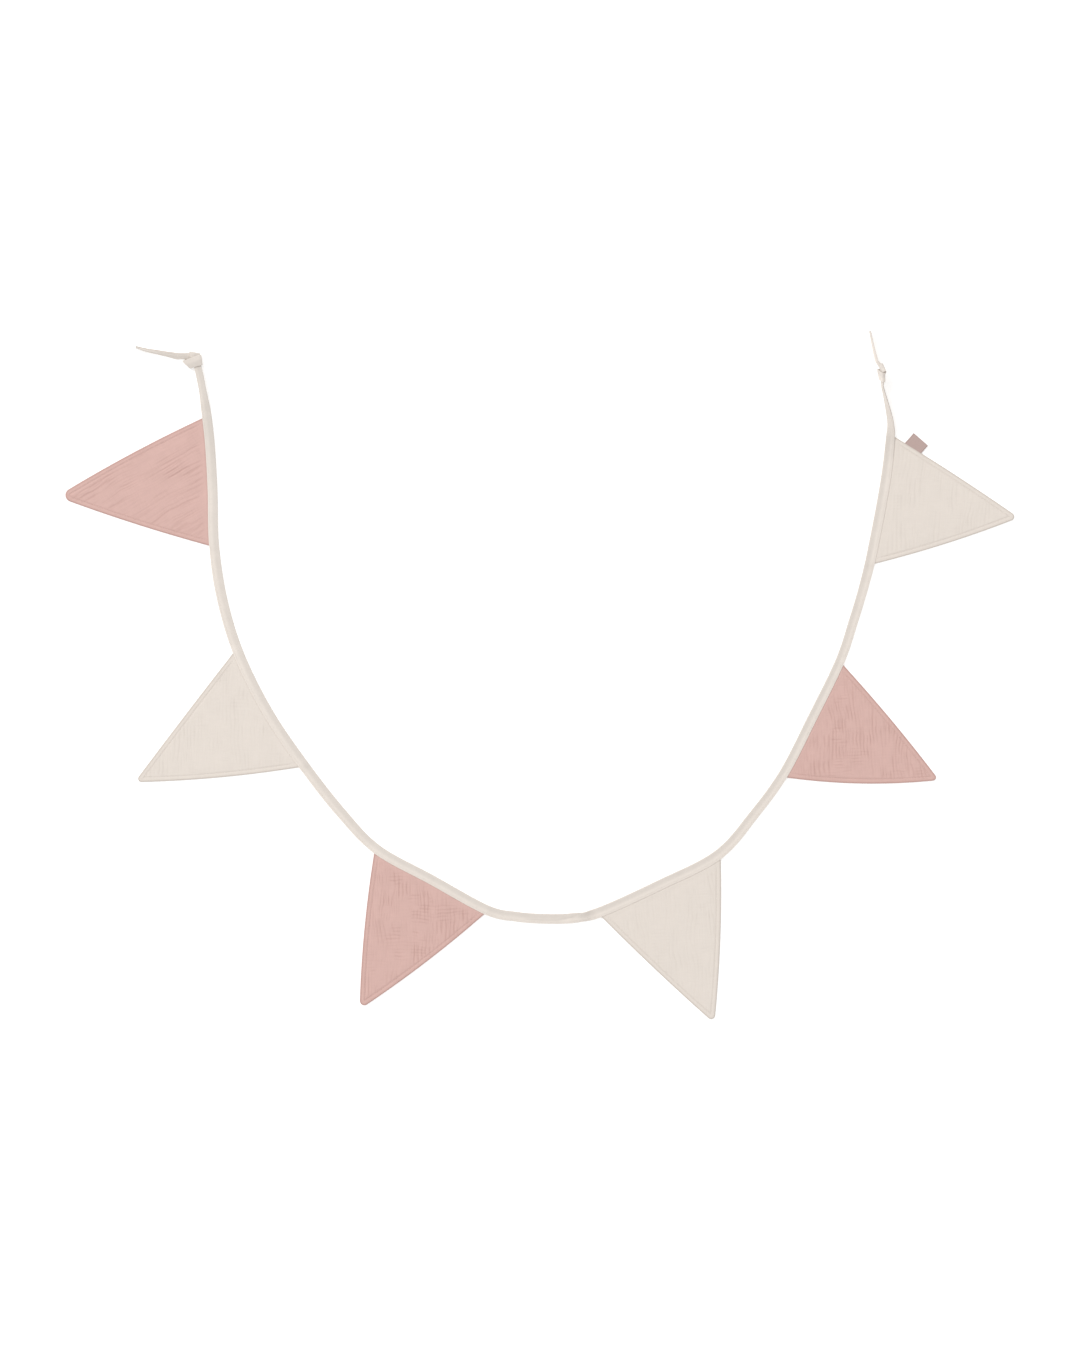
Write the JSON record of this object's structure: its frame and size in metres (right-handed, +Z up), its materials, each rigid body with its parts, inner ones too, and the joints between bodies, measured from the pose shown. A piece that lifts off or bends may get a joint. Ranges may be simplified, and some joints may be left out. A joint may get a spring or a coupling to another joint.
{
  "type": "fabric bunting",
  "caption": "Fabric bunting of turned muslin pennants in pink and cream, bound in one folded cotton tape with a knot near each end, lying flat in a U.",
  "frame": {"origin": "middle of the bounding box, on the surface that the bunting lies on", "axes": "+Z up from the surface, +X to the right along the bunting's width, +Y towards the tape's open ends"},
  "size_m": [1.2804, 0.9288, 0.027],
  "materials": {
    "pink_muslin": "matt crinkled double gauze cotton, dusty pink",
    "cream_muslin": "matt crinkled double gauze cotton, warm cream",
    "cream_tape": "matt plain-woven cotton bias tape, cream",
    "label_ribbon": "fine woven ribbon, rose taupe, bare"
  },
  "bodies": {
    "root": {"pennant_1": "pink_muslin", "pennant_2": "cream_muslin", "pennant_3": "pink_muslin", "pennant_4": "cream_muslin", "pennant_5": "pink_muslin", "pennant_6": "cream_muslin", "tape": "cream_tape", "side_label": "label_ribbon"}
  },
  "joints": []
}
